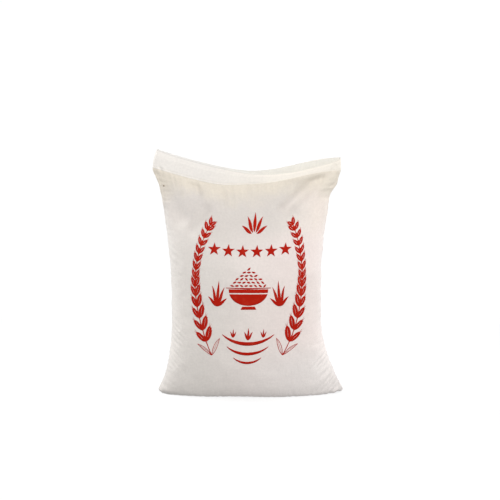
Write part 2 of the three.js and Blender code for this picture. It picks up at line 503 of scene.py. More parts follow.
def mouth_rows(face, top):
    """The rim's rounded lip, and its inner side down to where the two faces meet."""
    side = -1 if face == "front" else 1
    shut = closing(ACROSS)
    inward = -np.sign(ACROSS)
    rows = []
    for degrees in LIP_TURNS:
        turn = math.radians(degrees)
        lip = top.copy()
        lip[:, 0] += inward * LIP * degrees / 180 * (1 - shut)
        lip[:, 1] -= side * LIP / 2 * (1 - math.cos(turn)) * shut
        lip[:, 2] += LIP / 2 * math.sin(turn) * shut
        rows.append(lip)
    end = rows[-1]
    floor_z = rim_height(ACROSS, "front") - MOUTH_GROOVE * shut
    floor_x = row_x(top[:, 2], 2 * LIP)
    for share in INNER_SHARES:
        x = mix(end[:, 0], floor_x, share)
        y = mix(end[:, 1], 0, share**1.5)
        rows.append(np.stack([x, y, mix(end[:, 2], floor_z, share)], 1))
    return np.array(rows)


def make_object(name, vertices, faces, material, uvs=None):
    """A mesh object from places in millimetres. uvs maps a layer's name to two numbers for each vertex."""
    mesh = bpy.data.meshes.new(name)
    mesh.from_pydata((np.asarray(vertices) * MM).tolist(), [], faces)
    mesh.validate()
    for layer_name, values in (uvs or {}).items():
        layer = mesh.uv_layers.new(name=layer_name)
        loops = np.zeros(len(mesh.loops), int)
        mesh.loops.foreach_get("vertex_index", loops)
        layer.data.foreach_set("uv", np.asarray(values, float)[loops].astype(np.float32).ravel())
    mesh.polygons.foreach_set("use_smooth", [True] * len(mesh.polygons))
    mesh.materials.append(material)
    made = bpy.data.objects.new(name, mesh)
    bpy.context.scene.collection.objects.link(made)
    return made


def make_sack(material):
    """The whole cloth as one closed skin: both faces, the lips of the mouth and the slit between them."""
    grids = {}
    places = {}
    for face in ("front", "back"):
        outer, place = cloth_face(face)
        inner = mouth_rows(face, outer[-1])
        inner_place = np.repeat(place[-1:], len(inner), 0)
        inner_place[:, :, 1] += np.arange(1, len(inner) + 1)[:, None] * INNER_MARK_STEP
        inner_place[:, :, 2] = INNER_MARK
        grids[face] = np.concatenate([outer, inner])
        places[face] = np.concatenate([place, inner_place])

    last = ACROSS_STEPS
    ring = np.concatenate([grids["front"][:, :last], grids["back"][:, last:0:-1]], 1)
    ring_place = np.concatenate([places["front"][:, :last], places["back"][:, last:0:-1]], 1)
    rows, count = ring.shape[:2]
    index = np.arange(rows * count).reshape(rows, count)
    for end in (0, rows - 1):
        index[end, last + 1:] = index[end, last - 1:0:-1]
    a = index[:-1]
    b = np.roll(index, -1, 1)[:-1]
    c = np.roll(index, -1, 1)[1:]
    d = index[1:]
    faces = [list(dict.fromkeys(quad)) for quad in np.stack([a, b, c, d], 2).reshape(-1, 4).tolist()]
    faces = [quad for quad in faces if len(quad) > 2]
    used, faces = keep_used(rows * count, faces)
    place = ring_place.reshape(-1, 3)[used] * MM
    uvs = {"weave": place[:, :2], "place": place[:, [0, 2]]}
    made = make_object("sack_cloth", ring.reshape(-1, 3)[used], faces, material, uvs)
    return made, grids


def keep_used(count, faces):
    """The vertices that some face uses, and the faces with their new numbers."""
    used = np.zeros(count, bool)
    for face in faces:
        used[face] = True
    new = np.cumsum(used) - 1
    return used, [[int(new[i]) for i in face] for face in faces]


# Colours and materials.
def linear(hex_colour):
    """A screen colour such as #E6DFD6 as linear light, with alpha."""
    parts = [int(hex_colour[i:i + 2], 16) / 255 for i in (1, 3, 5)]
    return [p / 12.92 if p <= 0.04045 else ((p + 0.055) / 1.055) ** 2.4 for p in parts] + [1.0]


# A MapRange node takes a number at 0, what it goes from and to at 1 and 2, and what these turn into at 3
# and 4. A Mix node of colours takes the share at 0 and the colours at 6 and 7, and gives them mixed at 2.
def node(tree, kind, inputs, **settings):
    """Adds a node, and links or sets its inputs, which are named or numbered. A node given as an input stands
    for its first output, and a text for a screen colour."""
    made = tree.nodes.new("ShaderNode" + kind)
    for name, value in settings.items():
        setattr(made, name, value)
    for name, value in inputs.items():
        if isinstance(value, bpy.types.Node):
            value = value.outputs[0]
        if isinstance(value, bpy.types.NodeSocket):
            tree.links.new(value, made.inputs[name])
        elif isinstance(value, str):
            made.inputs[name].default_value = linear(value)
        else:
            made.inputs[name].default_value = value
    return made


def set_ramp(ramp, tones):
    """Gives a colour ramp these places and screen colours."""
    elements = ramp.color_ramp.elements
    while len(elements) < len(tones):
        elements.new(0.5)
    for element, (place, tone) in zip(elements, tones):
        element.position = place
        element.color = linear(tone)


def new_material(name):
    material = bpy.data.materials.new(name)
    material.use_nodes = True
    tree = material.node_tree
    tree.nodes.clear()
    return material, tree


def finish_material(tree, shader):
    node(tree, "OutputMaterial", {"Surface": shader})


def weave_height(tree, uv):
    """Plain weave, from 0 between yarns to 1 on top of one. Warp and weft take turns on top."""
    scaled = node(tree, "VectorMath", {0: uv, "Scale": 1 / (YARN * MM)}, operation="SCALE")
    parts = node(tree, "SeparateXYZ", {0: scaled}).outputs
    waves = []
    for axis in (0, 1):
        turned = node(tree, "Math", {0: parts[axis], 1: math.pi}, operation="MULTIPLY")
        waves.append(node(tree, "Math", {0: turned}, operation="SINE"))
    product = node(tree, "Math", {0: waves[0], 1: waves[1]}, operation="MULTIPLY")
    on_top = node(tree, "MapRange", {0: product, 1: -0.25, 2: 0.25})
    warp, weft = (node(tree, "Math", {0: wave}, operation="ABSOLUTE") for wave in waves)
    return node(tree, "Mix", {0: on_top, 2: weft, 3: warp})


def yarn_streaks(tree, uv, width, height, seed):
    """Thick and thin places along hand-spun yarns, from 0 to 1, of this size across the cloth and up it."""
    stretch = (1 / (width * MM), 1 / (height * MM), 1)
    place = node(tree, "Mapping", {0: uv, 1: (seed, seed, 0), 3: stretch})
    return node(tree, "TexNoise", {0: place, "Scale": 1.0, "Detail": 2.0})


# Sizes of the patterns in the cotton and the ink.
SLUB_LENGTH = 22.22  # thick and thin places along a yarn
SLUB_WIDTH = 1.613  # half as wide again as a drawn yarn, because a real slub is too fine to show
CLOUD = 62.5  # broad and faint differences of tone
MOTTLE = 4.762  # small ones, where the yarns lie closer or further apart
SPECK = 1.111  # specks of bare cloth in the ink, as wide as a drawn yarn
PATCH = 16.67  # places where the ink lies thinner
YARN_RELIEF = 0.22  # how far the yarns stand out
INKED_RELIEF = 0.2  # and under the ink

# Tones of the hem's bands, from its lower edge, 0, to the rim, 0.5, and inside the mouth: a painted highlight
# at the turned-in edge, three cloths thick, the brightest painted highlight where the cloth is rolled over, a
# band of painted shade on the rim itself, and a cooler tone inside the mouth.
HEM_LIGHT_AND_SHADE_TONES = (
    (0.0, "#FEFEFE"), (0.07, "#FBFBFB"), (0.11, "#F9F9F9"), (0.33, "#FAFAFA"), (0.38, "#FFFFFF"),
    (0.47, "#FFFFFF"), (0.492, "#EFEFEF"), (0.6, "#EFEFEF"), (0.8, "#FAFDFF"),
)

# Colours of the slack cloth above the rice, from the left side seam, 0, to the right one, 1: greyer than the
# filled cloth, with painted shade that is darkest in the middle, and painted light towards the right.
SHOULDER_LIGHT_AND_SHADE_TONES = (
    (0.08, "#DDD6D0"), (0.28, "#D6CFC9"), (0.64, "#D6CFC9"), (0.78, "#E0D8D1"), (0.9, "#E8DDD4"),
)


def cotton():
    """Unbleached cotton in plain weave, spun with slubs. Matt, with a faint sheen of loose fibres at a low
    angle. It looks whitest where the rice lies against it, and greyer above the rice, with painted shade
    there. Below the hem it is creamy where both faces meet, with painted shade for the hem's shadow. The ears
    on the floor carry painted shade, and the right of the filled cloth painted light. The hem, two cloths
    thick, is whiter, with painted light and bands of painted highlight and painted shade."""
    material, tree = new_material("unbleached plain-weave cotton")
    uv = node(tree, "UVMap", {}, uv_map="weave")
    place = node(tree, "UVMap", {}, uv_map="place")
    _, up, _ = node(tree, "SeparateXYZ", {0: uv}).outputs
    across, above_hem, _ = node(tree, "SeparateXYZ", {0: place}).outputs
    from_middle = node(tree, "Math", {0: across, 1: FLAT_WIDTH / 2 * MM}, operation="SUBTRACT")
    from_middle = node(tree, "Math", {0: from_middle}, operation="ABSOLUTE")
    weave = weave_height(tree, uv)
    weft_slubs = yarn_streaks(tree, uv, SLUB_LENGTH, SLUB_WIDTH, 3.1)
    warp_slubs = yarn_streaks(tree, uv, SLUB_WIDTH, SLUB_LENGTH, 7.7)
    streaks = node(tree, "Math", {0: weft_slubs, 1: warp_slubs}, operation="ADD")
    clouds = node(tree, "TexNoise", {0: uv, "Scale": 1 / (CLOUD * MM), "Detail": 3.0})
    mottle = node(tree, "TexNoise", {0: uv, "Scale": 1 / (MOTTLE * MM), "Detail": 1.0})

    # The filled cloth is pinker on the right and painted lighter there, and lighter still low down there:
    # painted light, for the light that falls from the right. Places on the cloth are in metres.
    rightwards = node(tree, "MapRange", {0: across, 1: 0.08, 2: 0.30}, interpolation_type="SMOOTHSTEP")
    low = node(tree, "MapRange", {0: up, 1: 0.150, 2: 0.060}, interpolation_type="SMOOTHSTEP")
    painted_light_low_right = node(tree, "Math", {0: low, 1: rightwards}, operation="MULTIPLY")
    colour = node(tree, "Mix", {0: rightwards, 6: "#DFD9D3", 7: "#E9DDD8"}, data_type="RGBA").outputs[2]
    colour = node(tree, "Mix", {0: painted_light_low_right, 6: colour, 7: "#EAE3DF"}, data_type="RGBA").outputs[2]

    # The slack cloth above the rice, greyer and darkened with painted shade, with a wavering lower edge.
    waver = node(tree, "MapRange", {0: clouds, 1: 0.3, 2: 0.7, 3: -0.014, 4: 0.014})
    height = node(tree, "Math", {0: above_hem, 1: waver}, operation="ADD")
    unfilled = node(tree, "MapRange", {0: height, 1: -0.150, 2: -0.080}, interpolation_type="SMOOTHSTEP")
    share_across = node(tree, "Math", {0: across, 1: 1 / (FLAT_WIDTH * MM)}, operation="MULTIPLY")
    shoulder_light_and_shade = node(tree, "ValToRGB", {0: share_across})
    set_ramp(shoulder_light_and_shade, SHOULDER_LIGHT_AND_SHADE_TONES)
    colour = node(tree, "Mix", {0: unfilled, 6: colour, 7: shoulder_light_and_shade}, data_type="RGBA").outputs[2]

    # The limp cloth below the hem: creamy, and darkened with painted shade for the hem's shadow. The painted
    # shade reaches lower at the corners, where the cloth turns away.
    corner = node(tree, "MapRange", {0: from_middle, 1: 0.150, 2: 0.187, 3: 0.0, 4: 0.024})
    height = node(tree, "Math", {0: height, 1: corner}, operation="ADD")
    limp_cream_and_shade = node(tree, "MapRange", {0: height, 1: -0.058, 2: -0.006}, interpolation_type="SMOOTHSTEP")
    colour = node(tree, "Mix", {0: limp_cream_and_shade, 6: colour, 7: "#E1D8CA"}, data_type="RGBA").outputs[2]

    # The hem: whiter for its two cloths and painted lighter as well, in bands of painted highlight and
    # painted shade.
    mark = node(tree, "Math", {0: above_hem, 1: 1 / (INNER_MARK * MM)}, operation="MULTIPLY")
    hem_light_and_shade_bands = node(tree, "ValToRGB", {0: mark})
    set_ramp(hem_light_and_shade_bands, HEM_LIGHT_AND_SHADE_TONES)
    cream = node(tree, "Mix", {0: rightwards, 6: "#F2EDE7", 7: "#F1EADF"}, data_type="RGBA").outputs[2]
    hem_colour = node(tree, "VectorMath", {0: cream, 1: hem_light_and_shade_bands}, operation="MULTIPLY")
    hem = node(tree, "MapRange", {0: above_hem, 1: 0.0, 2: 0.0012})
    colour = node(tree, "Mix", {0: hem, 6: colour, 7: hem_colour}, data_type="RGBA").outputs[2]

    # Small differences of tone: slubs, clouds, painted shade at the ears on the floor, side seams, mottling
    # and gaps in the weave.
    # The ears on the floor are painted darker: painted shade.
    foot = node(tree, "MapRange", {0: up, 1: 0.110, 2: 0.020}, interpolation_type="SMOOTHSTEP")
    ear = node(tree, "MapRange", {0: from_middle, 1: 0.115, 2: 0.175})
    ear_painted_shade = node(tree, "Math", {0: foot, 1: ear}, operation="MULTIPLY")
    shade = 1.0
    for pattern, first, last, first_tone, last_tone in (
        (streaks, 0.7, 1.3, 0.982, 1.015),
        (clouds, 0.3, 0.7, 0.975, 1.015),
        (ear_painted_shade, 0.0, 1.0, 1.0, 0.865),
        (from_middle, 0.1858, 0.1872, 1.0, 0.9),
        (mottle, 0.3, 0.7, 0.97, 1.02),
        (weave, 0.0, 0.5, 0.93, 1.0),
    ):
        tone = node(tree, "MapRange", {0: pattern, 1: first, 2: last, 3: first_tone, 4: last_tone})
        shade = node(tree, "Math", {0: shade, 1: tone}, operation="MULTIPLY")
    colour = node(tree, "VectorMath", {0: colour, "Scale": shade}, operation="SCALE")

    slubs = node(tree, "MapRange", {0: streaks, 1: 0.7, 2: 1.3, 3: 0.0, 4: 0.8})
    relief = node(tree, "Math", {0: slubs, 1: weave}, operation="ADD")
    bump = node(tree, "Bump", {"Strength": 0.6, "Distance": YARN_RELIEF * MM, "Height": relief})
    shader = node(tree, "BsdfPrincipled", {
        "Base Color": colour,
        "Roughness": 0.92,
        "IOR": 1.45,
        "Specular IOR Level": 0.25,
        "Sheen Weight": 0.55,
        "Sheen Roughness": 0.5,
        "Normal": bump,
    })
    finish_material(tree, shader)
    return material


def ink():
    """Red screen-print ink, soaked into the cotton. Matt and a little uneven: the tops of the yarns take more
    of it, and specks of bare cloth show between them."""
    material, tree = new_material("screen-print ink in cotton")
    uv = node(tree, "UVMap", {}, uv_map="weave")
    weave = weave_height(tree, uv)
    specks = node(tree, "TexNoise", {0: uv, "Scale": 1 / (SPECK * MM), "Detail": 2.0})
    patches = node(tree, "TexNoise", {0: uv, "Scale": 1 / (PATCH * MM), "Detail": 2.0})
    uneven = node(tree, "Math", {0: specks, 1: patches}, operation="ADD")
    thin = node(tree, "MapRange", {0: uneven, 1: 1.05, 2: 1.4, 3: 0.0, 4: 0.3})
    gaps = node(tree, "MapRange", {0: weave, 1: 0.0, 2: 0.5, 3: 0.12, 4: 0.0})
    bare = node(tree, "Math", {0: thin, 1: gaps}, operation="ADD")
    colour = node(tree, "Mix", {0: bare, 6: "#AE1706", 7: "#C85C40"}, data_type="RGBA").outputs[2]
    bump = node(tree, "Bump", {"Strength": 0.6, "Distance": INKED_RELIEF * MM, "Height": weave})
    shader = node(tree, "BsdfPrincipled", {
        "Base Color": colour,
        "Roughness": 0.85,
        "IOR": 1.45,
        "Specular IOR Level": 0.12,
        "Normal": bump,
    })
    finish_material(tree, shader)
    return material


def plain(name, hex_colour, roughness):
    """One matt colour, for what is too small to show more."""
    material, tree = new_material(name)
    shader = node(tree, "BsdfPrincipled", {"Base Color": hex_colour, "Roughness": roughness})
    finish_material(tree, shader)
    return material


# The print, drawn flat as outlines of (x, z), then laid on the cloth.
FLECK = ((-165, 410), 1.9, 4.0, 2.4)  # a flake of husk in the cloth: place, angle, length and width
PRINT_LINE = ((88, -2.9), (137, -0.2), (220, -0.2), (290, 2.2), (357, 7.4))  # the print's middle, as (z, x)
INK_STEP = 3.0  # step of the ink's grid and longest side of its outlines, so that it follows the cloth
INK_GRID_OFF = (0.21, 0.17)  # keeps the grid's points off the outlines
CAST_FROM = -300  # the print is cast on the cloth from here, in front of it
INSIDE = 1  # delaunay_2d_cdt then keeps only what the outlines enclose
WELD = 1e-4  # points of the ink closer than this are one


def bezier(a, b, c, d, count):
    """Points along a curve from a to d, with b and c as its handles."""
    t = np.linspace(0, 1, count)[:, None]
    a, b, c, d = (np.array(p, float) for p in (a, b, c, d))
    return a * (1 - t) ** 3 + b * 3 * t * (1 - t) ** 2 + c * 3 * t**2 * (1 - t) + d * t**3


def stroke(line, width, start=0.25, end=0.25):
    """Outline of a brush stroke along a line, widest in the middle. start and end are its ends' shares of the
    width."""
    line = np.asarray(line, float)
    tangent = np.gradient(line, axis=0)
    tangent /= np.linalg.norm(tangent, axis=1, keepdims=True)
    normal = np.stack([-tangent[:, 1], tangent[:, 0]], 1)
    t = np.linspace(0, 1, len(line))
    ends = np.where(t < 0.5, start, end)
    half = width / 2 * (ends + (1 - ends) * np.sin(np.pi * t) ** 0.8)
    return np.concatenate([line + normal * half[:, None], (line - normal * half[:, None])[::-1]])


def direction(angle):
    return np.array([math.cos(angle), math.sin(angle)])


def leaf(base, angle, length, width, bend=0.0, count=7, fullness=0.8):
    """Outline of a grain or leaf, narrow at both ends, bending sideways by a share of its length. Below 1,
    fullness moves its widest place towards the base."""
    t = np.linspace(0, 1, count)
    along = direction(angle)
    beside = np.array([-along[1], along[0]])
    sideways = bend * length * np.sin(np.pi * t / 2) ** 2
    middle = np.asarray(base) + np.outer(length * t, along) + np.outer(sideways, beside)
    half = width / 2 * np.sin(np.pi * np.minimum(1, t**fullness))
    return np.concatenate([middle + np.outer(half, beside), (middle - np.outer(half, beside))[-2:0:-1]])


STAR_COUNT = 6
STAR_SPACING = 27.3
STAR_RADIUS = 12.9
STAR_WAIST = 0.41  # reach of the notches between its points, as a share of the radius
STAR_ROW = 288.6
STAR_SAG = 4.6  # the row's ends stand this much higher than its middle


def star(centre):
    """A plump star with five points, one upright."""
    points = []
    for i in range(10):
        reach = STAR_RADIUS if i % 2 == 0 else STAR_RADIUS * STAR_WAIST
        points.append(np.array(centre) + reach * direction(math.pi / 2 + i * math.pi / 5))
    return np.array(points)


def star_outlines():
    outlines = []
    for i in range(STAR_COUNT):
        place = i - (STAR_COUNT - 1) / 2
        x = STAR_SPACING * place
        z = STAR_ROW + STAR_SAG * (2 * place / (STAR_COUNT - 1)) ** 2
        outlines.append(star((x, z)))
    return outlines


# An ear of rice: the handles of its curved stem, and how far along the stem each tier of grains stands.
EAR_SPINE = ((-68.1, 88.6), (-101, 152), (-121, 252), (-80.2, 337.8))
# Its two leaves: the tip, and the handles of the left and right edges, all from the foot of the stem.
EAR_LEAVES = (
    ((-29, 21), ((-8, 3.5), (-19, 12)), ((-6.5, 9.5), (-16.5, 18.5))),
    ((13.7, 34), ((0.5, 12), (3.5, 25)), ((8, 8), (11, 21.5))),
)
EAR_TIERS = (29, 52, 76, 98, 119, 137, 153, 170, 186.5, 202, 217.5, 233, 248)
# The grains at shares of the ear's height, on the wreath's inner side (-1) and its outer one: their length,
# width and spread from the stem in degrees.
GRAIN_AT = (0, 0.25, 0.5, 0.72, 1)
GRAIN_LENGTH = {-1: (31, 26.5, 19, 16, 15), 1: (26.5, 23, 19, 17.6, 16.5)}
GRAIN_WIDTH = {-1: (11.6, 9.6, 6.8, 6.6, 7.4), 1: (9.4, 8.2, 6.2, 6.6, 7.4)}
GRAIN_SPREAD = {-1: (30, 20.5, 17, 25, 33), 1: (25, 14, 14, 23, 35)}
HEART_WIDTH = (3.6, 4.2, 5.6, 6, 5.4)  # width of the fill between a pair of grains
TIP_GRAINS = ((20, 16), (-36, 13.5))  # turn from the stem in degrees, and length
SLIT = 0.48  # width of the slit between a grain's two glumes
AWN = 0.6  # width of an awn
AWN_PLACES = (0.3, 0.5, 0.7, 0.9)  # shares of a grain's length at which its awns stand
STEM = 1.8


def grain_outlines(base, angle, length, width, side):
    """One husked grain: two narrow glumes with a fine slit between them, and fine awns on its outer side."""
    along = direction(angle)
    beside = side * np.array([-along[1], along[0]])
    t = np.linspace(0, 1, 9)
    middle = base + np.outer(length * t, along)
    edge = width / 2 * np.sin(np.pi * t) ** 0.6
    slit = SLIT / 2 * smooth((t - 0.125) / 0.3) * smooth((0.875 - t) / 0.2)
    outlines = []
    for half in (1, -1):
        outer = middle + half * np.outer(edge, beside)
        inner = middle + half * np.outer(slit, beside)
        outlines.append(np.concatenate([outer, inner[-2:0:-1]]))
    for share in AWN_PLACES:
        foot = base + share * length * along + beside * width * 0.3 * math.sin(math.pi * share)
        awn_angle = angle + side * (0.5 - 0.4 * share)
        outlines.append(leaf(foot, awn_angle, length * 0.25, AWN, count=3))
    tip = base + along * length * 0.86
    outlines.append(leaf(tip, angle, length * 0.35, AWN, bend=-side * 0.12, count=5))
    return outlines


def leaf_line_outlines(foot, tip, left_handles, right_handles):
    """A long leaf drawn in line: both edges and a finer vein, from its foot to its tip."""
    foot = np.array(foot)
    vein_handles = np.mean([left_handles, right_handles], 0)
    outlines = []
    for handles, width in ((left_handles, 1.1), (right_handles, 1.1), (vein_handles, 0.5)):
        line = bezier(foot, foot + handles[0], foot + handles[1], foot + tip, 14)
        outlines.append(stroke(line, width, start=0.8, end=0.5))
    return outlines


def ear_outlines():
    """The left-hand ear of rice: a curved stem with pairs of grains, and two leaves drawn in line at its
    foot."""
    spine = bezier(*EAR_SPINE, 200)
    run = run_along(spine)
    angles = np.unwrap(np.arctan2(*np.gradient(spine, axis=0).T[::-1]))
    outlines = [stroke(spine[::8], STEM, start=0.8, end=0.5)]
    for share, distance in zip(np.linspace(0, 1, len(EAR_TIERS)), EAR_TIERS):
        base = np.array([np.interp(distance, run, spine[:, axis]) for axis in (0, 1)])
        angle = float(np.interp(distance, run, angles))
        beside = direction(angle + math.pi / 2)
        for side in (-1, 1):
            length = np.interp(share, GRAIN_AT, GRAIN_LENGTH[side])
            width = np.interp(share, GRAIN_AT, GRAIN_WIDTH[side])
            spread = side * math.radians(np.interp(share, GRAIN_AT, GRAIN_SPREAD[side]))
            foot = base + side * width * 0.15 * beside
            outlines += grain_outlines(foot, angle + spread, length, width, side)
        heart_foot = base - 0.15 * length * direction(angle)
        heart_width = np.interp(share, GRAIN_AT, HEART_WIDTH)
        outlines.append(leaf(heart_foot, angle, 0.85 * length, heart_width))
    for turn, length in TIP_GRAINS:
        side = 1 if turn > 0 else -1
        angle = angles[-1] + math.radians(turn)
        outlines += grain_outlines(spine[-1], angle, length, GRAIN_WIDTH[side][-1], side)
    for drawn_leaf in EAR_LEAVES:
        outlines += leaf_line_outlines(spine[0], *drawn_leaf)
    return outlines


def mirrored(outlines):
    return [outline[::-1] * (-1, 1) for outline in outlines]


# Grains and leaves that spread from one foot: the turn of each from upright in degrees, and its length.
SPRIG_GRAINS = ((-62, 25), (-31, 33), (0, 38), (31, 33), (62, 25))
TUFT_LEAVES = ((-58, 25), (-29, 40), (0, 50), (29, 40), (58, 25))
SEEDLING_LEAVES = ((-34, 0.78), (0, 1), (34, 0.78))  # of a seedling that stands 1 mm tall


def fan(foot, leaves, width, bend, size=1, gap=0, lean=0, count=7):
    """Leaves of one width that spread from a foot, with a gap there, and bend apart."""
    outlines = []
    for turn, length in leaves:
        angle = math.radians(90 - turn)
        start = np.array(foot) + gap * direction(angle)
        outlines.append(leaf(start, angle, length * size, width, bend * np.sign(turn) + lean, count))
    return outlines


def sprig_outlines():
    """Five loose grains in a fan, above the stars."""
    return fan((6, 320), SPRIG_GRAINS, width=6.4, bend=0.16, gap=5)


BOWL_HALF = 38
BOWL_TOP = 219
BOWL_BOTTOM = 186
BOWL_BAND = 7  # depth of the bowl's top band, which a bare line parts from the rest
BOWL_LINE = 2.4
BOWL_RIM = 1.5  # from the middle of the rim's stroke down to the band
BOWL_RIM_WIDTH = 2.6
BOWL_RIM_REACH = 5  # the rim reaches this much past the bowl on both sides
FOOT_HALF = 15
FOOT_TAPER = 3
FOOT_GAP = 1.6
FOOT_HEIGHT = 6
HEAP_ROWS = (8, 7, 6, 4, 3, 1)  # grains of the heap in each row, from the lowest
HEAP_FROM = 5  # height of the lowest row above the bowl
HEAP_STEP = (8.9, 6.4)
HEAP_GRAIN = (8.4, 3.6)
HEAP_LEAN = 45
TUFT_PLACE = (60, 184)


def bowl_side(top):
    """The part of the bowl's side below a level, from its right end to its left one."""
    turn = np.linspace(0, math.pi, 37)
    x = np.cos(turn) * BOWL_HALF
    z = BOWL_TOP - (BOWL_TOP - BOWL_BOTTOM) * np.sin(turn) ** 0.85
    inside = z < top
    right = slice(len(turn) // 2 + 1)
    reach = np.interp(BOWL_TOP - top, BOWL_TOP - z[right], x[right])
    return np.concatenate([[(reach, top)], np.stack([x, z], 1)[inside], [(-reach, top)]])


def bowl_outlines():
    """A bowl heaped with rice, between two tufts of leaves."""
    band = bowl_side(BOWL_TOP - BOWL_RIM)
    low = BOWL_TOP - BOWL_RIM - BOWL_BAND
    half_low = bowl_side(low)[0, 0]
    rim_end = BOWL_HALF + BOWL_RIM_REACH
    rim = [(-rim_end, BOWL_TOP + 1), (0, BOWL_TOP), (rim_end, BOWL_TOP + 1)]
    foot_top = BOWL_BOTTOM - FOOT_GAP
    foot_low = foot_top - FOOT_HEIGHT
    foot_narrow = FOOT_HALF - FOOT_TAPER
    outlines = [
        [band[0], (half_low, low), (-half_low, low), band[-1]],
        bowl_side(low - BOWL_LINE),
        stroke(rim, BOWL_RIM_WIDTH, start=0.5, end=0.5),
        [(-foot_narrow, foot_top), (-FOOT_HALF, foot_low), (FOOT_HALF, foot_low), (foot_narrow, foot_top)],
    ]
    rng = np.random.default_rng(SEED)
    for row, count in enumerate(HEAP_ROWS):
        for k in range(count):
            x = (k - (count - 1) / 2) * HEAP_STEP[0]
            z = BOWL_TOP + HEAP_FROM + row * HEAP_STEP[1]
            lean = math.radians(rng.uniform(-HEAP_LEAN, HEAP_LEAN))
            length, width = HEAP_GRAIN
            start = np.array([x, z]) - length / 2 * direction(lean)
            outlines.append(leaf(start, lean, length, width, bend=0.05, count=6, fullness=1))
    for sign in (-1, 1):
        tuft_foot = (sign * TUFT_PLACE[0], TUFT_PLACE[1])
        outlines += fan(tuft_foot, TUFT_LEAVES, width=5.6, bend=0.2, lean=0.06 * sign, count=10)
    return outlines


# The terraces: half width, height of the ends and of the curve's handles, and width of the stroke.
TERRACES = ((50, 130, 106, 7), (40, 106.5, 87.5, 5.8), (27, 85, 71, 4.6))
SEEDLINGS = ((-29, 124, 17), (0, 119, 24), (29, 124, 17))  # place, and how tall


def terrace_outlines():
    """Three tapering strokes like flooded terraces, with seedlings standing on the highest."""
    outlines = []
    for half, high, low, width in TERRACES:
        line = bezier((-half, high), (-half * 0.45, low), (half * 0.45, low), (half, high), 21)
        outlines.append(stroke(line, width, start=0.12, end=0.12))
    for x, z, tall in SEEDLINGS:
        outlines += fan((x, z), SEEDLING_LEAVES, width=tall * 0.17, bend=0.14, size=tall)
    return outlines


def divided(outline, step):
    """The outline with points added so that no side is longer than step."""
    points = []
    for a, b in zip(outline, np.roll(outline, -1, 0)):
        parts = max(1, math.ceil(np.linalg.norm(b - a) / step))
        points += [mix(a, b, i / parts) for i in range(parts)]
    return points


def anticlockwise(outline):
    """The outline in the order that fills its inside and not what is round it."""
    x, z = np.transpose(outline)
    turning = np.sum(x * np.roll(z, -1) - z * np.roll(x, -1))
    return outline if turning > 0 else outline[::-1]


def along_print_line(outline):
    """The outline moved sideways with the print's middle line, which leans a little on the pulled cloth."""
    outline = np.asarray(outline, float)
    middle = np.interp(outline[:, 1], *np.transpose(PRINT_LINE))
    return outline + np.outer(middle, (1, 0))


def lay_film(name, outlines, cloth, material):
    """A thin closed film with these outlines, joined where they cross, and laid on the front of the cloth."""
    points = []
    loops = []
    for outline in outlines:
        around = divided(anticlockwise(outline), INK_STEP)
        loops.append(list(range(len(points), len(points) + len(around))))
        points += around
    low = np.min(points, 0)
    high = np.max(points, 0)
    for x in np.arange(low[0], high[0], INK_STEP):
        for z in np.arange(low[1], high[1], INK_STEP):
            points.append(np.array([x + INK_GRID_OFF[0], z + INK_GRID_OFF[1]]))
    flat, _, triangles, _, _, owners = delaunay_2d_cdt([Vector(p) for p in points], [], loops, INSIDE, WELD)
    triangles = [triangle for triangle, outline in zip(triangles, owners) if outline]
    used, triangles = keep_used(len(flat), triangles)
    flat = [p for p, kept in zip(flat, used) if kept]

    top = []
    bottom = []
    for p in flat:
        hit, normal, *_ = cloth.ray_cast(Vector((p.x, CAST_FROM, p.y)) * MM, Vector((0, 1, 0)))
        top.append(hit / MM + normal * INK)
        bottom.append(hit / MM - normal * INK_SUNK)
    count = len(flat)
    faces = []
    open_edges = {}
    for triangle in triangles:
        a, b, c = triangle
        if (flat[b] - flat[a]).cross(flat[c] - flat[a]) < 0:
            b, c = c, b
        faces.append((a, b, c))
        faces.append((c + count, b + count, a + count))
        for edge in ((a, b), (b, c), (c, a)):
            if edge[::-1] in open_edges:
                del open_edges[edge[::-1]]
            else:
                open_edges[edge] = True
    faces += [(b, a, a + count, b + count) for a, b in open_edges]
    uv = [((p.x + FLAT_WIDTH / 2) * MM, p.y * MM) for p in flat] * 2
    return make_object(name, [tuple(p) for p in top + bottom], faces, material, {"weave": uv})


def stitch_mesh(line, material, name):
    """A row of separate running stitches along a line of the cloth, each dipping into it at both ends."""
    run = run_along(line)
    rng = np.random.default_rng(SEED)
    sides = THREAD_SIDES
    vertices = []
    faces = []
    outward = math.copysign(1, line[len(line) // 2, 1])
    start = STITCH_MARGIN
    while start + STITCH_LENGTH < run[-1] - STITCH_MARGIN:
        first = len(vertices)
        for share, size, lift in STITCH_RINGS:
            distance = start + share * STITCH_LENGTH
            centre = np.array([np.interp(distance, run, line[:, k]) for k in range(3)])
            centre[1] += outward * lift
            for i in range(sides):
                y, z = THREAD / 2 * size * direction(2 * math.pi * i / sides)
                vertices.append(centre + (0, y, z))
        for ring in range(first, len(vertices) - sides, sides):
            for i in range(sides):
                j = (i + 1) % sides
                faces.append((ring + i, ring + j, ring + sides + j, ring + sides + i))
        faces.append(list(range(first, first + sides))[::-1])
        faces.append(list(range(len(vertices) - sides, len(vertices))))
        start += STITCH_PITCH * rng.uniform(0.94, 1.06)
    return make_object(name, vertices, faces, material)


CLOTH = cotton()
RED = ink()
THREAD_COTTON = plain("cotton sewing thread", "#EFE7DA", roughness=0.8)
HUSK = plain("dry husk", "#9C8870", roughness=0.8)

sack, grids = make_sack(CLOTH)
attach(sack, "root")
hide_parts("rice_sack")

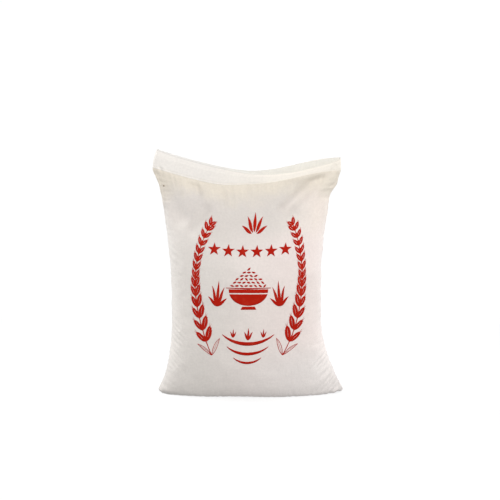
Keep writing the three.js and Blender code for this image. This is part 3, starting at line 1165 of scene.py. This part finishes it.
bpy.context.view_layer.update()
cloth = BVHTree.FromObject(sack, bpy.context.evaluated_depsgraph_get())
for name, outlines in (
    ("print_stars", star_outlines()),
    ("print_left_ear", ear_outlines()),
    ("print_right_ear", mirrored(ear_outlines())),
    ("print_sprig", sprig_outlines()),
    ("print_rice_bowl", bowl_outlines()),
    ("print_terraces", terrace_outlines()),
):
    film = lay_film(name, [along_print_line(outline) for outline in outlines], cloth, RED)
    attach(film, "root")

fleck = lay_film("husk_fleck", [leaf(*FLECK)], cloth, HUSK)
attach(fleck, "root")

rows_above_hem = len(LIP_TURNS) + len(INNER_SHARES)
stitch_row = HEM_SHARES.index(STITCH_PLACE) - len(HEM_SHARES) - rows_above_hem
for face in ("front", "back"):
    stitches = stitch_mesh(grids[face][stitch_row], THREAD_COTTON, "hem_stitches_" + face)
    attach(stitches, "root")

# The stage: a pale floor that brightens into a white room, three soft lights, and the room's even light.
FLOOR_HALF = 6000
FLOOR_PALE_TO = 0.25  # metres from the sack
FLOOR_WHITE_FROM = 1.1
FLOOR_TONE = 0.9
FLOOR_TONE_SEEN = 0.97  # what the camera sees
FLOOR_BOUNCE = 0.61  # share of its light that the floor sends back up to the sack
SHADOW = 0.2  # how dark the sack's shadow is on the floor, as a share of the full shadow
SHADOW_SEEN = 0.28  # and how dark the camera sees it
WALL_LIGHT = 0.86
CEILING_LIGHT = 0.26
ROOM_SEEN = 1.02  # the camera sees the room pure white


def camera_or_light(tree, seen, lighting):
    """One number for what the camera sees and another for the light that things get."""
    camera_ray = node(tree, "LightPath", {}).outputs["Is Camera Ray"]
    return node(tree, "MapRange", {0: camera_ray, 3: lighting, 4: seen})


def pale_floor():
    """A matt white sweep. It's lit like the room far from the sack, so that no horizon shows."""
    material, tree = new_material("pale floor")
    place = node(tree, "TexCoord", {}).outputs["Object"]
    distance = node(tree, "VectorMath", {0: place}, operation="LENGTH").outputs["Value"]
    sweep = {0: distance, 1: FLOOR_PALE_TO, 2: FLOOR_WHITE_FROM}
    far = node(tree, "MapRange", sweep, interpolation_type="SMOOTHSTEP")
    white = node(tree, "Emission", {
        "Color": (1, 1, 1, 1),
        "Strength": camera_or_light(tree, ROOM_SEEN, WALL_LIGHT * FLOOR_BOUNCE),
    })
    shade = camera_or_light(tree, FLOOR_TONE_SEEN, FLOOR_TONE * FLOOR_BOUNCE)
    grey = node(tree, "CombineColor", {0: shade, 1: shade, 2: shade})
    matt = node(tree, "BsdfDiffuse", {"Color": grey})
    lightened = camera_or_light(tree, 1 - SHADOW_SEEN, 1 - SHADOW)
    near = node(tree, "MixShader", {0: lightened, 1: matt, 2: white})
    finish_material(tree, node(tree, "MixShader", {0: far, 1: near, 2: white}))
    return material


floor_corners = [(x * FLOOR_HALF, y * FLOOR_HALF, 0) for x, y in ((-1, -1), (1, -1), (1, 1), (-1, 1))]
floor = make_object("floor", floor_corners, [(0, 1, 2, 3)], pale_floor())


def white_room():
    """Even light from all sides, weaker from above."""
    world = bpy.data.worlds.new("white room")
    bpy.context.scene.world = world
    world.use_nodes = True
    tree = world.node_tree
    tree.nodes.clear()
    outward = node(tree, "TexCoord", {}).outputs["Generated"]
    _, _, rise = node(tree, "SeparateXYZ", {0: outward}).outputs
    light = node(tree, "MapRange", {0: rise, 1: 0.1, 2: 0.8, 3: WALL_LIGHT, 4: CEILING_LIGHT})
    background = node(tree, "Background", {
        "Color": (1, 1, 1, 1),
        "Strength": camera_or_light(tree, ROOM_SEEN, light),
    })
    node(tree, "OutputWorld", {"Surface": background})


MIDDLE = (0, 0, 0.24)


def area_light(name, place, size, power):
    """A square soft light that shines at the middle of the sack."""
    data = bpy.data.lights.new(name, "AREA")
    data.shape = "SQUARE"
    data.size = size
    data.energy = power
    made = bpy.data.objects.new(name, data)
    made.location = place
    made.rotation_euler = (Vector(MIDDLE) - Vector(place)).to_track_quat("-Z", "Y").to_euler()
    bpy.context.scene.collection.objects.link(made)


white_room()
area_light("key", (0.42, -1.75, 1.8), size=1.2, power=35.5)
area_light("right", (1.9, 0.8, 1.0), size=1.2, power=24)
area_light("left", (-1.9, 0.8, 1.2), size=1.2, power=43)

# The camera stands 2.4 m in front of the sack and looks down on it a little, with a long lens.
CAMERA_DISTANCE = 2.4
CAMERA_ELEVATION = math.radians(6)
CAMERA_TARGET = Vector((0.0028, 0, 0.285))
FRAME_WIDTH = 0.985  # width that the picture covers at the sack
SENSOR = 36  # the lens and the sensor are in millimetres

camera_data = bpy.data.cameras.new("camera")
camera_data.sensor_width = SENSOR
camera_data.lens = SENSOR * CAMERA_DISTANCE / FRAME_WIDTH
camera = bpy.data.objects.new("camera", camera_data)
towards_camera = Vector((0, -math.cos(CAMERA_ELEVATION), math.sin(CAMERA_ELEVATION)))
camera.location = CAMERA_TARGET + towards_camera * CAMERA_DISTANCE
camera.rotation_euler = (-towards_camera).to_track_quat("-Z", "Y").to_euler()
bpy.context.scene.collection.objects.link(camera)
bpy.context.scene.camera = camera
bpy.context.scene.view_settings.view_transform = "Standard"
